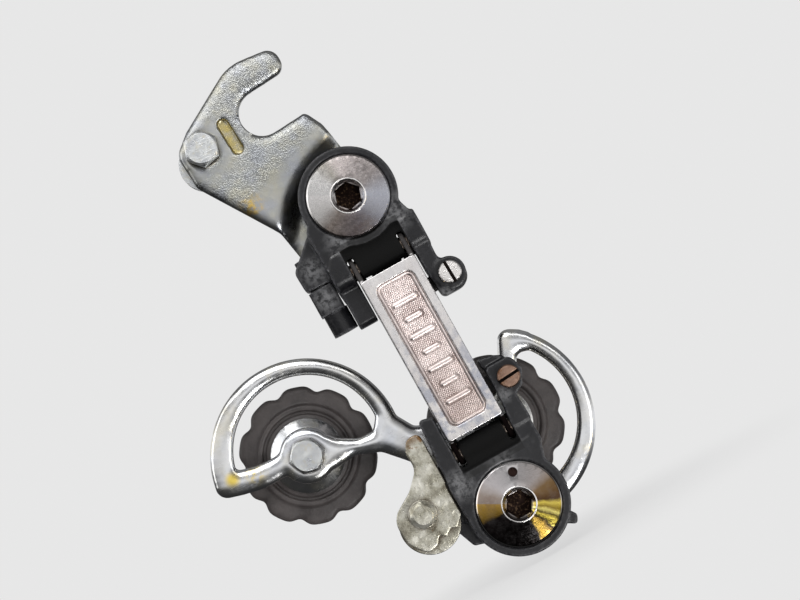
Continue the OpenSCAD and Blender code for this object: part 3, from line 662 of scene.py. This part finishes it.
# The pins in the forks: darker steel as painted shade, and black oxide.
SHADED_PIN = plain_steel("shaded_pin_finish", (0.05, 0.045, 0.045), (0.16, 0.15, 0.145), 0.30, 0.50, 0.2)
BRIGHT = plain_steel("screw_finish", (0.80, 0.77, 0.74), (0.98, 0.95, 0.92), 0.18, 0.30,
                     face=outer_face("upper_limit_screw"))
RUSTY = plain_steel("rusty_screw_finish", (0.20, 0.12, 0.085), (0.42, 0.28, 0.21), 0.30, 0.52, 0.55,
                    face=outer_face("lower_limit_screw"))
ANCHOR = tarnished_anchor()

LOOKS = {
    "hanger_plate": (0.7, ZINC_PLATE), "hanger_bolt": (0.25, ZINC), "dropout_nut": (0.6, ZINC),
    "upper_pivot_bolt": (0.12, UPPER_CAP), "upper_pivot_nut": (0.3, ZINC), "upper_knuckle": (0.45, BLACK),
    "upper_pivot_spring": (0, SPRING), "upper_outer_pin": (0.3, SHADED_PIN), "upper_inner_pin": (0.3, SHADED_PIN),
    "upper_limit_screw": (0.12, BRIGHT), "cable_stop": (0.3, BLACK), "outer_link": (0.22, LINK),
    "inner_link": (0.2, INNER), "parallelogram_spring": (0, SPRING), "lower_knuckle": (0.45, BLACK),
    "lower_outer_pin": (0.3, SHADED_PIN), "lower_inner_pin": (0.3, SHADED_PIN),
    "lower_limit_screw": (0.12, RUSTY), "lower_pivot_bolt": (0.12, LOWER_CAP),
    "lower_pivot_clip": (0.1, PIN), "lower_pivot_spring": (0, SPRING), "cable_anchor_arm": (0.4, ANCHOR),
    "cable_anchor_plate": (0.3, ANCHOR), "cable_anchor_bolt": (0.3, ANCHOR),
    "cable_anchor_washer": (0.15, ANCHOR), "cable_anchor_nut": (0.25, ANCHOR),
    "cage_outer_plate": (0.75, CHROME), "cage_inner_plate": (0.5, CHROME), "cage_pivot_sleeve": (0.1, PIN),
    "guide_pulley": (0.3, PULLEY), "guide_bush": (0, PIN), "guide_cap_outer": (0.2, PULLEY_CAP_CHROME),
    "guide_cap_inner": (0.2, PULLEY_CAP_CHROME), "guide_bolt": (0.2, ZINC), "guide_nut": (0.1, ZINC),
    "tension_pulley": (0.3, PULLEY), "tension_bush": (0, PIN), "tension_cap_outer": (0.2, PULLEY_CAP_CHROME),
    "tension_cap_inner": (0.2, PULLEY_CAP_CHROME), "tension_bolt": (0.25, ZINC), "tension_nut": (0.2, ZINC),
}
for node, (width, material) in LOOKS.items():
    polish(node, width, material)

# ---- softened stand-ins ----

add_piece("cage_outer_shell", softened("cage_outer_plate", 0.26, 14, 3.3, 1.2), CHROME, "cage", "chrome",
          "cage_outer_plate")
add_piece("hanger_shell", softened("hanger_plate", 0.28, 5, 2.8, 1.1, (WINDOW_X, WINDOW_Z, 5.6)), ZINC_PLATE,
          "hanger", "zinc_steel", "hanger_plate")
add_piece("outer_link_shell", softened("outer_link", 0.2, 8), LINK, "outer_link", "plated_link", "outer_link")
for part in ("upper_knuckle", "lower_knuckle"):
    add_piece(part + "_shell", softened(part, 0.30, 9), BLACK, part, "black_plastic", part)
add_piece("cable_anchor_shell", softened("cable_anchor_arm", 0.22, 5), ANCHOR, "lower_knuckle",
          "tarnished_steel", "cable_anchor_arm")

# ---- pulleys with round lobes ----

TEETH = 10
VALLEY = 1.3
LOBE_START, LOBE_WIDTH = 13.4, 3.0


def lobed(a, r):
    """Broad round lobes with shallow valleys, on the outer part of a pulley only."""
    wave = 0.5 + 0.5 * math.cos(TEETH * a)
    dip = (1 - wave) ** 3.0
    share = min(1.0, max(0.0, (r - LOBE_START) / LOBE_WIDTH))
    return r - VALLEY * dip * share


PULLEY_OUTLINE = [(3.93, -3.0), (4.1, -3.1), (10.1, -3.1), (10.3, -2.9), (10.5, -2.4), (11.1, -2.4),
                  (11.3, -2.9), (11.5, -3.1), (12.2, -3.1), (12.55, -2.95), (12.7, -2.5), (13.0, -2.05),
                  (13.5, -1.9), (15.4, -1.9), (16.3, -1.8), (16.9, -1.5), (17.25, -1.0), (17.38, -0.4)]
PULLEY_OUTLINE = PULLEY_OUTLINE + [(r, -y) for r, y in reversed(PULLEY_OUTLINE)]
for part in ("guide", "tension"):
    mesh = lathe(PULLEY_OUTLINE, 400, node_centre(part + "_pulley"), lobed)
    add_piece(part + "_pulley_moulding", mesh, PULLEY, part + "_pulley", "pulley_plastic", part + "_pulley")

# ---- the outer link's sunk panel ----

HALF_X, HALF_Z, MIDDLE_Z = 5.15, 19.35, -71.95
CORNER = 2.0
BEAD_AT, BEAD_HALF, BEAD_HEIGHT = 0.55, 0.32, 0.24
HATCH_FROM, HATCH_PITCH, HATCH_HEIGHT = 0.95, 0.46, 0.16
COS_45 = 0.7071
RIB_STEP, RIB_HALF, RIB_HEIGHT, RIB_CLEAR = 4.4, 0.62, 0.26, 1.05


def hump(away, half, height):
    """A rounded ridge: its height at a distance from its middle line."""
    return height * max(0.0, 1 - (away / half) ** 2) ** 0.5


def panel_height(x, z):
    """Height in mm above the recess floor, x, z from the recess' middle: a bead, hatching and ribs."""
    ox, oz = abs(x) - (HALF_X - CORNER), abs(z) - (HALF_Z - CORNER)
    inside = CORNER - math.hypot(max(ox, 0), max(oz, 0)) - min(max(ox, oz), 0)
    if inside < HATCH_FROM:
        return hump(inside - BEAD_AT, BEAD_HALF, BEAD_HEIGHT)
    across, along = (x + z) * COS_45 / HATCH_PITCH, (x - z) * COS_45 / HATCH_PITCH
    cross = max(0.0, math.cos(2 * math.pi * across)) * 0.5 + max(0.0, math.cos(2 * math.pi * along)) * 0.5
    rise = HATCH_HEIGHT * cross * min(1.0, (inside - HATCH_FROM) / 0.3)
    rib = round(z / RIB_STEP)
    if abs(rib) <= 3:
        reach = 2.7 if rib % 2 else 1.7
        away = math.hypot(max(abs(x) - reach, 0.0), z - rib * RIB_STEP)
        rise = max(rise if away > RIB_CLEAR else 0.0, hump(away, RIB_HALF, RIB_HEIGHT))
    return rise


def link_panel():
    """The hatched panel in the outer link's recess; its rim is buried in the frame round it."""
    middle_x = node_centre("outer_link")[0]
    pitch, buried, back_y = 0.1, 0.2, -16.4
    wide, tall = round(2 * (HALF_X + buried) / pitch), round(2 * (HALF_Z + buried) / pitch)
    points = []
    for k in range(tall + 1):
        z = -HALF_Z - buried + k * pitch
        for i in range(wide + 1):
            x = -HALF_X - buried + i * pitch
            points.append(((middle_x + x) * MM, (RECESS_Y - panel_height(x, z)) * MM, (MIDDLE_Z + z) * MM))
    row = wide + 1
    faces = [(k * row + i, k * row + i + 1, (k + 1) * row + i + 1, (k + 1) * row + i)
             for k in range(tall) for i in range(wide)]
    rim = (list(range(row)) + [k * row + wide for k in range(1, tall + 1)]
           + [tall * row + i for i in range(wide - 1, -1, -1)] + [k * row for k in range(tall - 1, 0, -1)])
    first, count = len(points), len(rim)
    points += [(points[i][0], back_y * MM, points[i][2]) for i in rim]
    faces += [(rim[i], first + i, first + (i + 1) % count, rim[(i + 1) % count]) for i in range(count)]
    faces.append([first + i for i in range(count)])
    return new_mesh("panel", points, faces)


add_piece("outer_link_panel", link_panel(), PANEL, "outer_link", "plated_link")

# ---- floor, world and lights ----

PALE = 0.80
FLOOR_RADIUS = 0.3
FLOOR_STEPS = 96
# Brightness of the world, each (place, value), from the foot of the camera's view (0) to its head (1).
ROOM = ((0.0, 0.03), (0.34, 0.05), (0.42, 0.35), (0.47, 0.80), (0.56, 1.05), (0.64, 0.38), (0.8, 0.12),
        (1.0, 0.25))


def stage_floor():
    """A pale disc just under the lowest point; 90 mm from its middle it has faded into the world's colour."""
    f = Finish("floor_finish", Roughness=0.85)
    f.colour(f.ramp(f.noise(0.02, 3.0), (0.3, (0.76, 0.76, 0.77)), (0.7, (0.80, 0.80, 0.80))))
    f.bump((f.noise(0.5, 3.0), 0.05),)
    glow = f.add("Emission", {"Color": (PALE, PALE, PALE), "Strength": 1.0})
    far = f.vector("LENGTH", f.place)
    mixed = f.add("MixShader", {0: f.fit(far, 10, 90, 0.80, 1.0), 1: f.bsdf.outputs[0], 2: glow.outputs[0]})
    f.put(f.out, 0, mixed.outputs[0])
    turns = [2 * math.pi * i / FLOOR_STEPS for i in range(FLOOR_STEPS)]
    ring = [(FLOOR_RADIUS * math.cos(turn), FLOOR_RADIUS * math.sin(turn), 0.0) for turn in turns]
    mesh = new_mesh("floor", ring, [list(range(FLOOR_STEPS))])
    mesh.materials.append(f.mat)
    floor = bpy.data.objects.new("floor", mesh)
    floor.location = (AIM.x, 0.0, cad_box[0].z - 2 * MM)
    scene.collection.objects.link(floor)
    floor.visible_shadow = floor.visible_glossy = False


def studio_world():
    """Pale to the camera; for reflections and light, bright above and dark below."""
    world = bpy.data.worlds.new("studio")
    scene.world = world
    world.use_nodes = True
    tree = world.node_tree
    tree.nodes.clear()
    kinds = ("OutputWorld", "MixShader", "Background", "Background", "LightPath", "TexCoord", "VectorMath",
             "MapRange", "ValToRGB")
    out, mix, plain, room, path, where, lean, fit, shade = (tree.nodes.new("ShaderNode" + k) for k in kinds)
    plain.inputs["Color"].default_value = (PALE, PALE, PALE, 1)
    room.inputs["Strength"].default_value = 0.9
    lean.operation = "DOT_PRODUCT"
    lean.inputs[1].default_value = UP
    fit.inputs["From Min"].default_value, fit.inputs["From Max"].default_value = -1, 1
    marks = shade.color_ramp.elements
    while len(marks) < len(ROOM):
        marks.new(0.5)
    for mark, (at, value) in zip(marks, ROOM):
        mark.position, mark.color = at, (value, value, value * 1.01, 1)
    for source, target in (
            (where.outputs["Generated"], lean.inputs[0]), (lean.outputs["Value"], fit.inputs["Value"]),
            (fit.outputs[0], shade.inputs["Fac"]), (shade.outputs["Color"], room.inputs["Color"]),
            (path.outputs["Is Camera Ray"], mix.inputs[0]), (room.outputs[0], mix.inputs[1]),
            (plain.outputs[0], mix.inputs[2]), (mix.outputs[0], out.inputs[0])):
        tree.links.new(source, target)


def lamp(name, place, size, power, colour=(1, 1, 1)):
    """A soft rectangular lamp at a place given as (right, up, towards the camera) from the aim, in metres."""
    data = bpy.data.lights.new(name, "AREA")
    data.shape = "RECTANGLE"
    data.size, data.size_y = size
    data.energy = power
    data.color = colour
    obj = bpy.data.objects.new(name, data)
    scene.collection.objects.link(obj)
    look(obj, AIM + RIGHT * place[0] + UP * place[1] + OUT * place[2], AIM, UP)


stage_floor()
studio_world()
lamp("key", (-0.30, 0.45, 0.50), (0.60, 0.40), 1.9)
lamp("fill", (0.55, 0.10, 0.45), (0.25, 0.50), 0.5)
lamp("strip", (0.05, 0.34, 0.50), (0.7, 0.08), 0.4)
lamp("side", (0.27, -0.27, 0.48), (0.22, 0.16), 1.4)
lamp("rim", (-0.50, 0.05, 0.12), (0.25, 0.50), 0.5)
lamp("warm", (0.42, -0.06, 0.30), (0.05, 0.05), 0.06, (1.0, 0.72, 0.25))
scene.view_settings.view_transform = "Standard"
